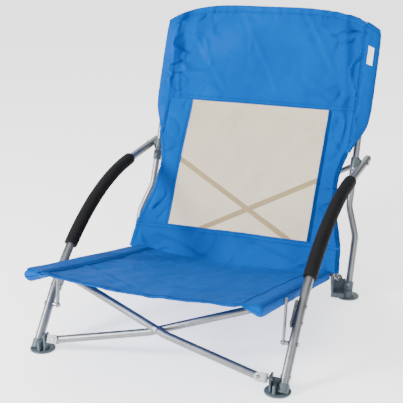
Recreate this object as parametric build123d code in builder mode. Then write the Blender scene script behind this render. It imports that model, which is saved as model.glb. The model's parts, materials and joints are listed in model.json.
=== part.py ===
"""Folding camp chair: a low umbrella-fold chair with a fabric seat and back on a steel tube frame.

Millimetres, +Z up. The sitter faces -Y, and +X is to the right of a person who faces the chair. The origin is
on the floor under the middle of the open chair. "left" pieces have negative x and "right" pieces positive x.
"""
import os
from math import atan2, cos, hypot, radians, sin, tan

from build123d import *

os.makedirs("parts", exist_ok=True)

# ---- driving dimensions -------------------------------------------------------------------------------
FRONT_Y = -349.5             # front feet
REAR_Y = FRONT_Y + 501.0     # where the uprights' plane meets the floor
RECLINE = 23.6               # uprights lean back, degrees
FRAME_R = 8.0                # uprights and seat rails
ARM_R = 9.5                  # arm tubes, which are also the front legs
CROSS_R = 6.5                # rear cross tubes
FRONT_CROSS_R = 8.0          # front cross tubes
WALL = 1.0                   # all tubes
PIN_R = 2.5                  # rivets and pins
RUNNING = 0.06               # radial clearance of a pin that turns

UPRIGHT_X = 260.0            # straight upper stretch of each upright
REAR_FOOT_X = 284.0          # rear feet stand further out
JOG_TOP_Z, JOG_LOW_Z = 201.0, 136.0
UPRIGHT_TOP_Z = 592.0
HUB_Z = 299.0                # sliding hub, chair open
HUB_R, HUB_LENGTH = 11.0, 26.0
COLLAR_R, COLLAR_LENGTH = 10.5, 24.0

FOOT_R, FOOT_THICK = 27.0, 4.5
FRONT_FOOT_X = 260.0
FOOT_CUP, FOOT_SPIGOT = 7.0, 32.0   # the front foot round the leg and inside it
LEG_BASE = (271.4, FRONT_Y - 0.3, 12.0)
ARM_CORNER = (275.5, FRONT_Y + 233.0, 280.0)
ARM_END = (283.0, FRONT_Y + 668.0, 301.5)
ARM_BEND = 600.0             # the arm is one long bend
ARM_PIVOT_X, ARM_PIVOT_Y, ARM_PIVOT_Z = 282.4, FRONT_Y + 632.0, 299.7
GRIP_R, GRIP_START, GRIP_LENGTH = 15.0, 234.6, 352.0
LEG_HOLES = (22.0, 88.6, 132.6, 168.6)   # along the leg: foot rivet, strut bolt, two bracket rivets

CROSS_X = 257.0              # rear cross tube pivots, low and high
CROSS_LOW_Z = 40.0
CROSS_A_BEHIND = (13.0, 31.0)   # tube from the left foot: pivots behind the uprights' plane, low and high
CROSS_B_BEHIND = (-5.0, 19.0)   # tube from the right foot, passing in front
CROSS_STUB = 7.0             # tube past its end pivots

RAIL_X = 239.0
RAIL_PIVOT_Y, RAIL_PIVOT_Z = FRONT_Y + 478.0, 62.0
RAIL_FRONT_Y, RAIL_FRONT_Z = FRONT_Y - 68.0, 200.0

FRONT_CROSS_X = 228.0        # front cross tubes: low pivots
FRONT_CROSS_TOP_X = 208.0
FRONT_CROSS_Y, FRONT_CROSS_Z = FRONT_Y - 8.0, 31.0
FRONT_TOP_Y, FRONT_TOP_Z = FRONT_Y + 53.0, 151.0
FRONT_OFFSET = 8.7           # each tube stands this far from their common plane
BEND_RISE = 0.36             # share of the rise reached at the bend
EAR_X, EAR_THICK = 248.0, 4.0
STRUT_X, STRUT_THICK = 253.0, 3.6
STRUT_HIGH = (FRONT_Y + 70.0, 164.0)

FABRIC = 2.6                 # fabric with its hems, as a closed solid
SLEEVE_GAP = 0.6
SEAT_SAG = 16.0
BACK_TOP_Z = 604.0
CROWN = 46.0                 # the back's top edge rises to the middle
BACK_STRAIGHT_Z = 400.0      # above this the back lies on the uprights
BACK_LOW_Z, BACK_LOW_Y = 58.0, FRONT_Y + 452.0
BACK_HEM_Z, BACK_HEM_MIDDLE_Z = 80.0, 65.0   # the lower edge follows the seat's sag
BACK_LOW_X, BACK_WAIST_X = 262.0, 230.0
BACK_SIDE_X = 272.0          # beside the uprights' sleeves
SLEEVE_LOW_Z = 372.0
SEAT_START = 22.0            # from the rail's pivot to the seat's rear edge
MESH = 1.0
LABEL_Z = 541.0
WINDOW_TOP, WINDOW_LOW = 414.0, 131.0
WINDOW_TOP_X, WINDOW_LOW_X = 181.0, 179.0

# ---- derived directions -------------------------------------------------------------------------------
UP = Vector(0, sin(radians(RECLINE)), cos(radians(RECLINE)))         # along the uprights
BEHIND = Vector(0, cos(radians(RECLINE)), -sin(radians(RECLINE)))    # square to their plane
ACROSS = Vector(1, 0, 0)
FRONT_TILT = atan2(FRONT_TOP_Y - FRONT_CROSS_Y, FRONT_TOP_Z - FRONT_CROSS_Z)
FRONT_UP = Vector(0, sin(FRONT_TILT), cos(FRONT_TILT))
FRONT_OUT = Vector(0, -cos(FRONT_TILT), sin(FRONT_TILT))             # towards a person facing the chair
RAIL_DIR = Vector(0, RAIL_FRONT_Y - RAIL_PIVOT_Y, RAIL_FRONT_Z - RAIL_PIVOT_Z).normalized()
RAIL_LENGTH = hypot(RAIL_FRONT_Y - RAIL_PIVOT_Y, RAIL_FRONT_Z - RAIL_PIVOT_Z)


def on_upright(x, z, behind=0.0):
    """A point of the uprights' plane at height z, moved square to it by behind."""
    return Vector(x, REAR_Y + z * tan(radians(RECLINE)), z) + BEHIND * behind


def mirror_x(point, side):
    """The right side's point, or its mirror image on the left."""
    x, y, z = tuple(point)
    return Vector(side * x, y, z)


def rod(start, end, radius, mode=Mode.ADD):
    """A round bar between two points, added to or cut from the current part."""
    start, end = Vector(start), Vector(end)
    with Locations(Plane(origin=start, z_dir=end - start)):
        Cylinder(radius, (end - start).length, align=(Align.CENTER, Align.CENTER, Align.MIN), mode=mode)


def pin_hole(centre, axis, radius=PIN_R + RUNNING, reach=40.0):
    """A round hole through the current part."""
    centre = Vector(centre)
    rod(centre - axis * reach, centre + axis * reach, radius, mode=Mode.SUBTRACT)


def riveted_pin(centre, axis, low, high, head=4.4, thick=1.8):
    """A pin along axis from low to high, with a tapered head on each end."""
    centre = Vector(centre)
    rod(centre + axis * low, centre + axis * high, PIN_R)
    for end, way in ((low, -1), (high, 1)):
        with Locations(Plane(origin=centre + axis * end, z_dir=axis * way)):
            Cone(head, head * 0.62, thick, align=(Align.CENTER, Align.CENTER, Align.MIN))


def tube(points, radius, bends=None):
    """A hollow tube along points, with a bend of the given radius at each inner point."""
    with BuildLine() as path:
        if bends:
            FilletPolyline(*points, radius=bends)
        else:
            Line(*points)
    with BuildSketch(Plane(origin=path.line @ 0, z_dir=path.line % 0)) as ring:
        Circle(radius)
        Circle(radius - WALL, mode=Mode.SUBTRACT)
    sweep(sections=ring.sketch, path=path.line)


def block(centre, x_dir, z_dir, size):
    """A box centred on a point, turned to two directions."""
    with Locations(Plane(origin=centre, x_dir=x_dir, z_dir=z_dir)):
        Box(*size)


pieces = {}


def finish(name, part):
    """Labels a finished piece and writes it."""
    part.part.label = name
    pieces[name] = part.part
    export_step(part.part, f"parts/{name}.step")


sides = {"left": -1, "right": 1}
cross_half_height = (HUB_Z - CROSS_LOW_Z) / cos(radians(RECLINE)) / 2
crossing_z = (HUB_Z + CROSS_LOW_Z) / 2

# ---- uprights, their caps, collars and rear feet --------------------------------------------------------
for side_name, side in sides.items():
    low_end = on_upright(side * REAR_FOOT_X, 8)
    bends = [on_upright(side * REAR_FOOT_X, JOG_LOW_Z), on_upright(side * UPRIGHT_X, JOG_TOP_Z)]
    top = on_upright(side * UPRIGHT_X, UPRIGHT_TOP_Z)
    with BuildPart() as upright:
        tube([low_end, *bends, top], FRAME_R, (60, 60))
        pin_hole(on_upright(side * UPRIGHT_X, 272), BEHIND, PIN_R)
        pin_hole(on_upright(side * REAR_FOOT_X, 27), BEHIND, PIN_R)
    finish(f"{side_name}_upright", upright)

    with BuildPart() as upright_cap:
        rod(top - UP * 14, top, FRAME_R - WALL)
        rod(top, top + UP * 5, FRAME_R)
        fillet(upright_cap.edges().filter_by(GeomType.CIRCLE).sort_by(Axis.Z)[-1], 3.5)
    finish(f"{side_name}_upright_cap", upright_cap)

    collar_middle = on_upright(side * UPRIGHT_X, 272)
    with BuildPart() as stop_collar:
        rod(collar_middle - UP * COLLAR_LENGTH / 2, collar_middle + UP * COLLAR_LENGTH / 2, COLLAR_R)
        fillet(stop_collar.edges().filter_by(GeomType.CIRCLE), 1.5)
        rod(collar_middle - UP * 30, collar_middle + UP * 30, FRAME_R, mode=Mode.SUBTRACT)
        pin_hole(collar_middle, BEHIND, PIN_R)
    finish(f"{side_name}_stop_collar", stop_collar)

    socket_top = on_upright(side * REAR_FOOT_X, 36)
    low_pivot = on_upright(side * CROSS_X, CROSS_LOW_Z)
    rail_pivot = Vector(side * RAIL_X, RAIL_PIVOT_Y, RAIL_PIVOT_Z)
    with BuildPart() as rear_foot:
        with Locations((side * REAR_FOOT_X, REAR_Y + 5, 0)):
            Cylinder(FOOT_R, FOOT_THICK, align=(Align.CENTER, Align.CENTER, Align.MIN))
        fillet(rear_foot.edges().filter_by(GeomType.CIRCLE), 1.8)
        rod(on_upright(side * REAR_FOOT_X, 8), socket_top, 11)
        with Locations(on_upright(side * REAR_FOOT_X, 3)):
            Cone(17, 11, 16, align=(Align.CENTER, Align.CENTER, Align.MIN))
        # low base that carries both pivot ears
        block((side * 264, REAR_Y - 6, 9), ACROSS, (0, 0, 1), (31, 26, 12))
        # round-ended ear for the rear cross tube
        rod(low_pivot + BEHIND * 2.5, low_pivot + BEHIND * 5.5, 9)
        block(on_upright(side * 261, 27, 4), ACROSS, BEHIND, (26, 28, 3))
        # tapered ear for the seat rail
        with BuildSketch(Plane.YZ.offset(side * 251 - 2.5)):
            with BuildLine():
                Polyline(
                    (RAIL_PIVOT_Y - 9, RAIL_PIVOT_Z), (RAIL_PIVOT_Y + 9, RAIL_PIVOT_Z),
                    (REAR_Y + 7, 4), (REAR_Y - 17, 4), close=True,
                )
            make_face()
        extrude(amount=5)
        rod(rail_pivot + ACROSS * side * 9.5, rail_pivot + ACROSS * side * 14.5, 9.5)
        # thin rib behind the socket
        block((side * REAR_FOOT_X, REAR_Y + 20, 9), ACROSS, (0, 0, 1), (4, 20, 14))
        rod(on_upright(side * REAR_FOOT_X, 8), socket_top + UP * 20, FRAME_R, mode=Mode.SUBTRACT)
        with Locations((0, 0, 0)):
            Box(2000, 2000, 100, align=(Align.CENTER, Align.CENTER, Align.MAX), mode=Mode.SUBTRACT)
        pin_hole(low_pivot, BEHIND, PIN_R)
        pin_hole(rail_pivot, ACROSS, PIN_R, reach=17)
        pin_hole(on_upright(side * REAR_FOOT_X, 27), BEHIND, PIN_R)
    finish(f"{side_name}_rear_foot", rear_foot)

    with BuildPart() as upright_rivets:
        riveted_pin(on_upright(side * UPRIGHT_X, 272), BEHIND, -COLLAR_R - 0.2, COLLAR_R + 0.2, 3.6, 1.4)
        riveted_pin(on_upright(side * REAR_FOOT_X, 27), BEHIND, -11.1, 11.1, 3.6, 1.4)
    finish(f"{side_name}_upright_rivets", upright_rivets)

# ---- rear cross tubes -----------------------------------------------------------------------------------
for name, side, behind in (("rear_cross_tube_a", -1, CROSS_A_BEHIND), ("rear_cross_tube_b", 1, CROSS_B_BEHIND)):
    low = on_upright(side * CROSS_X, CROSS_LOW_Z, behind[0])
    high = on_upright(-side * CROSS_X, HUB_Z, behind[1])
    along = (high - low).normalized()
    with BuildPart() as cross_tube:
        tube([low - along * CROSS_STUB, high + along * CROSS_STUB], CROSS_R)
        pin_hole(low, BEHIND)
        pin_hole(high, BEHIND)
        pin_hole(on_upright(0, crossing_z), BEHIND, PIN_R if side < 0 else PIN_R + RUNNING)
    finish(name, cross_tube)

crossing = on_upright(0, crossing_z)
middle_a, middle_b = (sum(pair) / 2 for pair in (CROSS_A_BEHIND, CROSS_B_BEHIND))
with BuildPart() as rear_cross_rivet:
    riveted_pin(crossing, BEHIND, middle_b - CROSS_R - 0.5, middle_a + CROSS_R + 0.3)
finish("rear_cross_rivet", rear_cross_rivet)

# ---- sliding hubs, pins at both ends of the rear cross tubes ----------------------------------------------
for side_name, side in sides.items():
    centre = on_upright(side * UPRIGHT_X, HUB_Z)
    pivot = on_upright(side * CROSS_X, HUB_Z)
    arm_pivot = Vector(side * ARM_PIVOT_X, ARM_PIVOT_Y, ARM_PIVOT_Z)
    lug_front = 26.4 if side < 0 else 19.6           # the left lug is behind its tube, the right one in front
    with BuildPart() as slider_hub:
        rod(centre - UP * HUB_LENGTH / 2, centre + UP * HUB_LENGTH / 2, HUB_R)
        fillet(slider_hub.edges().filter_by(GeomType.CIRCLE), 1.2)
        rod(arm_pivot - ACROSS * side * 20, arm_pivot - ACROSS * side * (ARM_R + 0.8), 9)
        bridge_depth = lug_front + 4
        block(on_upright(side * 269.5, HUB_Z, bridge_depth / 2), ACROSS, BEHIND, (4.6, 20, bridge_depth))
        block(on_upright(side * 259.4, HUB_Z, lug_front + 2), ACROSS, BEHIND, (24.8, 20, 4))
        rod(centre - UP * 30, centre + UP * 30, FRAME_R + 0.08, mode=Mode.SUBTRACT)
        pin_hole(pivot + BEHIND * 24, BEHIND, PIN_R, reach=12)
        pin_hole(arm_pivot, ACROSS, PIN_R, reach=14)
    finish(f"{side_name}_slider_hub", slider_hub)

    upper_tube = CROSS_A_BEHIND[1] if side > 0 else CROSS_B_BEHIND[1]
    lower_tube = CROSS_A_BEHIND[0] if side < 0 else CROSS_B_BEHIND[0]
    with BuildPart() as hub_pins:
        low_stop = min(upper_tube - CROSS_R - 0.6, lug_front - 0.01)
        high_stop = max(upper_tube + CROSS_R + 0.6, lug_front + 4.01)
        if side < 0:
            rod(pivot + BEHIND * (HUB_R + 0.9), pivot + BEHIND * high_stop, PIN_R)
            rod(pivot + BEHIND * high_stop, pivot + BEHIND * (high_stop + 1.8), 4.4)
        else:
            riveted_pin(pivot, BEHIND, low_stop - 0.01, high_stop)
        arm_head = ARM_R + 0.5
        rod(arm_pivot - ACROSS * side * 13.5, arm_pivot + ACROSS * side * arm_head, PIN_R)
        rod(arm_pivot + ACROSS * side * arm_head, arm_pivot + ACROSS * side * (arm_head + 2.2), 5.2)
    finish(f"{side_name}_hub_pins", hub_pins)

    low_pivot = on_upright(side * CROSS_X, CROSS_LOW_Z)
    with BuildPart() as foot_pins:
        riveted_pin(low_pivot, BEHIND, min(lower_tube - CROSS_R - 0.6, 2.5), max(lower_tube + CROSS_R + 0.6, 5.5))
        rail_pivot = Vector(side * RAIL_X, RAIL_PIVOT_Y, RAIL_PIVOT_Z)
        rod(rail_pivot - ACROSS * side * (FRAME_R + 0.5), rail_pivot + ACROSS * side * 14.6, PIN_R)
        for end, way in ((-(FRAME_R + 0.5), -1), (14.6, 1)):
            start = rail_pivot + ACROSS * side * end
            rod(start, start + ACROSS * side * way * 1.6, 4.2)
    finish(f"{side_name}_foot_pins", foot_pins)

# ---- arm tubes, which are also the front legs ---------------------------------------------------------------
for side_name, side in sides.items():
    base, corner, end = (mirror_x(point, side) for point in (LEG_BASE, ARM_CORNER, ARM_END))
    arm_pivot = Vector(side * ARM_PIVOT_X, ARM_PIVOT_Y, ARM_PIVOT_Z)
    leg_dir = (corner - base).normalized()
    with BuildLine() as arm_path:
        FilletPolyline(base, corner, end, radius=ARM_BEND)
    arm_line = arm_path.wires()[0]
    foot_rivet, strut_bolt, *bracket_rivets = (
        arm_line.position_at(reach, position_mode=PositionMode.LENGTH) for reach in LEG_HOLES
    )
    with BuildPart() as arm_tube:
        tube([base, corner, end], ARM_R, ARM_BEND)
        pin_hole(arm_pivot, ACROSS)
        for hole in (foot_rivet, strut_bolt, *bracket_rivets):
            pin_hole(hole, ACROSS, PIN_R)
    finish(f"{side_name}_arm_tube", arm_tube)

    end_dir = (end - corner).normalized()
    with BuildPart() as arm_plug:
        rod(end - end_dir * 12, end, ARM_R - WALL)
        rod(end, end + end_dir * 4, ARM_R)
        fillet(arm_plug.edges().filter_by(GeomType.CIRCLE).sort_by(Axis.Y)[-1], 3)
    finish(f"{side_name}_arm_plug", arm_plug)

    with BuildPart() as foam_grip:
        with BuildSketch(Plane(origin=arm_line @ 0, z_dir=arm_line % 0)):
            Circle(GRIP_R)
            Circle(ARM_R, mode=Mode.SUBTRACT)
        sweep(path=arm_line)
        for reach, keep in ((GRIP_START, Keep.TOP), (GRIP_START + GRIP_LENGTH, Keep.BOTTOM)):
            cut = arm_line.position_at(reach, position_mode=PositionMode.LENGTH)
            heading = arm_line.tangent_at(reach, position_mode=PositionMode.LENGTH)
            split(bisect_by=Plane(origin=cut, z_dir=heading), keep=keep)
    finish(f"{side_name}_foam_grip", foam_grip)

    foot_centre = Vector(side * FRONT_FOOT_X, FRONT_Y, 0)
    knuckle_pivot = Vector(side * FRONT_CROSS_X, FRONT_CROSS_Y, FRONT_CROSS_Z)
    with BuildPart() as front_foot:
        with Locations(foot_centre):
            Cylinder(FOOT_R, FOOT_THICK, align=(Align.CENTER, Align.CENTER, Align.MIN))
        fillet(front_foot.edges().filter_by(GeomType.CIRCLE), 1.8)
        rod(base - leg_dir * 12, base + leg_dir * FOOT_CUP, ARM_R + 2.2)
        # fin that stands up in the middle of the foot, with its cross rib
        block(foot_centre + (side * -2, -14, 13), ACROSS, (0, 0, 1), (5, 16, 20))
        block(foot_centre + (side * 2, 3, 9), ACROSS, (0, 0, 1), (16, 5, 14))
        # ear for the knuckle of the front cross tube
        block((side * EAR_X, FRONT_Y - 5, 21), ACROSS, (0, 0, 1), (EAR_THICK, 20, 36))
        block((side * 257, FRONT_Y + 4, 16), ACROSS, (0, 0, 1), (16, 5, 26))
        rod(base, base + leg_dir * 60, ARM_R, mode=Mode.SUBTRACT)
        # spigot inside the leg, which its rivet goes through
        rod(base - leg_dir * 2, base + leg_dir * FOOT_SPIGOT, ARM_R - WALL)
        with Locations((0, 0, 0)):
            Box(2000, 2000, 100, align=(Align.CENTER, Align.CENTER, Align.MAX), mode=Mode.SUBTRACT)
        pin_hole(knuckle_pivot + ACROSS * side * (EAR_X - FRONT_CROSS_X), ACROSS, PIN_R, reach=3)
        pin_hole(foot_rivet, ACROSS, PIN_R)
    finish(f"{side_name}_front_foot", front_foot)

    # plate on the leg's inner side, which keeps the rail off the tube
    middle = (bracket_rivets[0] + bracket_rivets[1]) / 2
    plate_dir = (bracket_rivets[1] - bracket_rivets[0]).normalized()
    plate_centre = middle - ACROSS * side * (ARM_R + 2.6)
    with BuildPart() as leg_bracket:
        block(plate_centre, plate_dir, ACROSS, (60, 15, 4))
        fillet(leg_bracket.edges().filter_by(Axis.X, tolerance=1), 6)
        for hole in bracket_rivets:
            pin_hole(hole, ACROSS, PIN_R)
    finish(f"{side_name}_leg_bracket", leg_bracket)

    with BuildPart() as leg_rivets:
        for hole in bracket_rivets:
            riveted_pin(hole, ACROSS * side, -(ARM_R + 5.1), ARM_R + 0.2, 4.0, 1.6)
        riveted_pin(foot_rivet, ACROSS * side, -(ARM_R + 0.2), ARM_R + 0.2, 3.6, 1.4)
    finish(f"{side_name}_leg_rivets", leg_rivets)

    # light flat strut from the leg up to the front end of the rail
    strut_low = Vector(side * STRUT_X, strut_bolt.Y, strut_bolt.Z)
    strut_high = Vector(side * STRUT_X, *STRUT_HIGH)
    strut_dir = (strut_high - strut_low).normalized()
    with BuildPart() as strut:
        block((strut_low + strut_high) / 2, strut_dir, ACROSS, ((strut_high - strut_low).length, 11, STRUT_THICK))
        for tip in (strut_low, strut_high):
            rod(tip - ACROSS * STRUT_THICK / 2, tip + ACROSS * STRUT_THICK / 2, 5.5)
        pin_hole(strut_low, ACROSS)
        pin_hole(strut_high, ACROSS, PIN_R - 0.5)
    finish(f"{side_name}_strut", strut)

    bolt_start = strut_low - ACROSS * side * (STRUT_THICK / 2 + 0.5)
    bolt_end = strut_bolt + ACROSS * side * (ARM_R + 0.1)
    spacer_start = strut_low + ACROSS * side * (STRUT_THICK / 2 + 0.5)
    with BuildPart() as strut_bolt_set:
        rod(bolt_start, bolt_end, PIN_R)
        rod(bolt_end, bolt_end + ACROSS * side * 2.2, 4.6)
        rod(spacer_start, Vector(side * (abs(strut_bolt.X) - ARM_R), strut_bolt.Y, strut_bolt.Z), 4.4)
        with BuildSketch(Plane(origin=bolt_start, z_dir=ACROSS * -side)):
            RegularPolygon(4.6, 6)
        extrude(amount=3.2)
    finish(f"{side_name}_strut_bolt", strut_bolt_set)

# ---- seat rails -----------------------------------------------------------------------------------------------
for side_name, side in sides.items():
    rail_pivot = Vector(side * RAIL_X, RAIL_PIVOT_Y, RAIL_PIVOT_Z)
    rail_front = Vector(side * RAIL_X, RAIL_FRONT_Y, RAIL_FRONT_Z)
    with BuildPart() as seat_rail:
        tube([rail_pivot - RAIL_DIR * 9, rail_front], FRAME_R)
        pin_hole(rail_pivot, ACROSS)
    finish(f"{side_name}_seat_rail", seat_rail)

    with BuildPart() as rail_cap:
        rod(rail_front - RAIL_DIR * 14, rail_front, FRAME_R - WALL)
        rod(rail_front, rail_front + RAIL_DIR * 4, FRAME_R)
        fillet(rail_cap.edges().filter_by(GeomType.CIRCLE).sort_by(Axis.Y)[0], 3)
    finish(f"{side_name}_rail_cap", rail_cap)

# ---- front cross tubes, each pinned in a knuckle that turns on the front foot ---------------------------------
crossing_up = (FRONT_TOP_Z - FRONT_CROSS_Z) / cos(FRONT_TILT)
for name, side, offset in (("front_cross_tube_a", -1, -FRONT_OFFSET), ("front_cross_tube_b", 1, FRONT_OFFSET)):
    knuckle_name = "left_knuckle" if side < 0 else "right_knuckle"
    nominal = Vector(side * FRONT_CROSS_X, FRONT_CROSS_Y, FRONT_CROSS_Z)
    low = nominal + FRONT_OUT * offset
    span = FRONT_CROSS_X + FRONT_CROSS_TOP_X
    bend = low + Vector(-side * (FRONT_CROSS_X - 22), 0, 0) + FRONT_UP * crossing_up * BEND_RISE
    high = low + Vector(-side * span, 0, 0) + FRONT_UP * crossing_up
    low_dir = (bend - low).normalized()
    high_dir = (high - bend).normalized()
    cross_rise = crossing_up * BEND_RISE + 22 * high_dir.dot(FRONT_UP) / abs(high_dir.X)
    crossing = Vector(0, FRONT_CROSS_Y, FRONT_CROSS_Z) + FRONT_UP * cross_rise + FRONT_OUT * offset
    with BuildPart() as front_tube:
        tube([low - low_dir * 6, bend, high], FRONT_CROSS_R, 60)
        pin_hole(low, FRONT_OUT)
        pin_hole(crossing, FRONT_OUT, PIN_R)
    finish(name, front_tube)

    with BuildPart() as end_plug:
        rod(high - high_dir * 12, high, FRONT_CROSS_R - WALL)
        rod(high, high + high_dir * 3, FRONT_CROSS_R)
        fillet(end_plug.edges().filter_by(GeomType.CIRCLE).sort_by(lambda e: (e.center() - high).dot(high_dir))[-1], 2)
    finish(name.replace("tube", "plug"), end_plug)

    # half of the crossing's rivet: a headed pin whose head is on this tube's outer face
    way = 1 if offset > 0 else -1
    with BuildPart() as half_rivet:
        start = crossing - FRONT_OUT * way * (FRONT_CROSS_R - WALL)
        rod(start, crossing + FRONT_OUT * way * (FRONT_CROSS_R + 0.2), PIN_R)
        rod(crossing + FRONT_OUT * way * (FRONT_CROSS_R + 0.2), crossing + FRONT_OUT * way * (FRONT_CROSS_R + 1.8), 4.2)
    finish(name.replace("tube", "rivet"), half_rivet)

    with BuildPart() as knuckle:
        cheek = FRONT_CROSS_R + 0.5
        for way in (-1, 1):
            rod(low + FRONT_OUT * way * cheek, low + FRONT_OUT * way * (cheek + 3), 9)
            block(low + ACROSS * side * 7 + FRONT_OUT * way * (cheek + 1.5), ACROSS, FRONT_OUT, (14, 18, 3))
        block(low + ACROSS * side * 12, ACROSS, FRONT_OUT, (4, 18, 2 * cheek + 6))
        pin_hole(low, FRONT_OUT, PIN_R)
        pin_hole(nominal + ACROSS * side * 12, ACROSS, PIN_R + RUNNING, reach=4)
    finish(knuckle_name, knuckle)

    with BuildPart() as knuckle_pin:
        riveted_pin(low, FRONT_OUT, -(cheek + 3.1), cheek + 3.1, 4.2, 1.6)
    finish(f"{knuckle_name}_rivet", knuckle_pin)

    with BuildPart() as ear_pin:
        start = nominal + ACROSS * side * 9.6
        rod(start, nominal + ACROSS * side * (EAR_X - FRONT_CROSS_X + EAR_THICK / 2 + 0.2), PIN_R)
        outer = nominal + ACROSS * side * (EAR_X - FRONT_CROSS_X + EAR_THICK / 2 + 0.2)
        rod(outer, outer + ACROSS * side * 1.6, 4)
    finish(f"{knuckle_name}_pin", ear_pin)

# ---- fabric: seat with a sleeve on each rail -----------------------------------------------------------------
sleeve_r = FRAME_R + SLEEVE_GAP
rail_frame = Plane(
    origin=(0, RAIL_PIVOT_Y, RAIL_PIVOT_Z), x_dir=(1, 0, 0), z_dir=RAIL_DIR
)
with BuildPart() as seat_fabric:
    with BuildSketch(rail_frame.offset(SEAT_START)):
        # local y of this plane points down and forward, square to the rails
        down = 1 if rail_frame.y_dir.Z < 0 else -1
        with BuildLine():
            edge_y = -down * (sleeve_r + FABRIC - 0.2)
            sag_high = edge_y + down * SEAT_SAG
            ThreePointArc((-RAIL_X, edge_y), (0, sag_high), (RAIL_X, edge_y))
            Line((RAIL_X, edge_y), (RAIL_X, edge_y + down * FABRIC))
            ThreePointArc(
                (RAIL_X, edge_y + down * FABRIC), (0, sag_high + down * FABRIC), (-RAIL_X, edge_y + down * FABRIC)
            )
            Line((-RAIL_X, edge_y + down * FABRIC), (-RAIL_X, edge_y))
        make_face()
        with Locations((-RAIL_X, 0), (RAIL_X, 0)):
            Circle(sleeve_r + FABRIC)
        with Locations((-RAIL_X, 0), (RAIL_X, 0)):
            Circle(sleeve_r, mode=Mode.SUBTRACT)
    extrude(amount=RAIL_LENGTH + 6 - SEAT_START)
finish("seat_fabric", seat_fabric)

# ---- fabric: back with a sleeve on each upright, open in the middle for the mesh ----------------------------------
def back_point(z, out=0.0):
    """A point (y, z) of the back's rear surface, moved forward by out."""
    if z >= BACK_STRAIGHT_Z:
        y = REAR_Y + z * tan(radians(RECLINE)) - (FRAME_R + SLEEVE_GAP) / cos(radians(RECLINE))
    else:
        share = (BACK_STRAIGHT_Z - z) / (BACK_STRAIGHT_Z - BACK_LOW_Z)
        top_y = REAR_Y + BACK_STRAIGHT_Z * tan(radians(RECLINE)) - (FRAME_R + SLEEVE_GAP) / cos(radians(RECLINE))
        y = top_y + share * (BACK_LOW_Y - top_y)
    return (y - out, z)


def back_band(thick, start=0.0):
    """The back's side profile, as a band of the given thickness."""
    heights = (BACK_LOW_Z, BACK_STRAIGHT_Z, BACK_TOP_Z + CROWN + 4)
    rear = [back_point(z, start) for z in heights]
    front = [back_point(z, start + thick) for z in reversed(heights)]
    with BuildLine() as outline:
        Polyline(*rear, *front, close=True)
    make_face(outline.edges())


sleeve_low, sleeve_high = on_upright(UPRIGHT_X, SLEEVE_LOW_Z), on_upright(UPRIGHT_X, BACK_TOP_Z - 4)
with BuildPart() as back_fabric:
    with BuildSketch(Plane.YZ):
        back_band(FABRIC)
    extrude(amount=BACK_SIDE_X + 10, both=True)
    with BuildSketch(Plane.XZ):
        with BuildLine():
            ThreePointArc((0, BACK_HEM_MIDDLE_Z), (BACK_LOW_X / 2, BACK_HEM_Z * 0.25 + BACK_HEM_MIDDLE_Z * 0.75),
                          (BACK_LOW_X, BACK_HEM_Z))
            Spline((BACK_LOW_X, BACK_HEM_Z), (BACK_WAIST_X + 15, 160), (BACK_WAIST_X, 245), (BACK_WAIST_X + 18, 325),
                   (BACK_SIDE_X, SLEEVE_LOW_Z + 20))
            Line((BACK_SIDE_X, SLEEVE_LOW_Z + 20), (BACK_SIDE_X, BACK_TOP_Z))
            Spline((BACK_SIDE_X, BACK_TOP_Z), (BACK_SIDE_X * 0.87, BACK_TOP_Z + CROWN * 0.55), (0, BACK_TOP_Z + CROWN),
                   tangents=((0, 1), (-1, 0)))
            Line((0, BACK_TOP_Z + CROWN), (0, BACK_HEM_MIDDLE_Z))
        make_face()
        mirror(about=Plane.YZ)
    extrude(amount=-1000, both=True, mode=Mode.INTERSECT)
    for side in (-1, 1):
        low_end, high_end = mirror_x(sleeve_low, side), mirror_x(sleeve_high, side)
        rod(low_end, high_end, sleeve_r + FABRIC)
    for side in (-1, 1):
        low_end, high_end = mirror_x(sleeve_low, side), mirror_x(sleeve_high, side)
        rod(low_end - UP * 200, high_end - UP * 2, sleeve_r, mode=Mode.SUBTRACT)
    with BuildSketch(Plane.XZ) as window_outline:
        with BuildLine():
            Polyline(
                (-WINDOW_LOW_X, WINDOW_LOW), (WINDOW_LOW_X, WINDOW_LOW), (WINDOW_TOP_X, WINDOW_TOP),
                (-WINDOW_TOP_X, WINDOW_TOP), close=True,
            )
        make_face()
        fillet(window_outline.vertices(), 8)
    extrude(amount=-1000, both=True, mode=Mode.SUBTRACT)
finish("back_fabric", back_fabric)

with BuildPart() as mesh_window:
    with BuildSketch(Plane.YZ):
        back_band(MESH, (FABRIC - MESH) / 2)
    extrude(amount=UPRIGHT_X, both=True)
    add(extrude(window_outline.sketch, amount=-1000, both=True, mode=Mode.PRIVATE), mode=Mode.INTERSECT)
finish("mesh_window", mesh_window)

label_low, label_high = on_upright(UPRIGHT_X, LABEL_Z - 20), on_upright(UPRIGHT_X, LABEL_Z + 20)
with BuildPart() as label_tag:
    block((label_low + label_high) / 2 + ACROSS * (sleeve_r + FABRIC + 0.5), UP, ACROSS, (38, 14, 0.8))
finish("label_tag", label_tag)

box = Compound(children=list(pieces.values())).bounding_box()
print("pieces", len(pieces))
print("box", [round(v, 1) for v in (*box.min, *box.max)], "middle y", round(box.center().Y, 2))
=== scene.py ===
"""Folding camp chair: looks, on the fixed CAD frame. Metres, +Z up, the sitter faces -Y."""
import json
from math import cos, exp, hypot, pi, radians, sin, sqrt

import bpy
import bmesh
from mathutils import Matrix, Vector, noise


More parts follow.
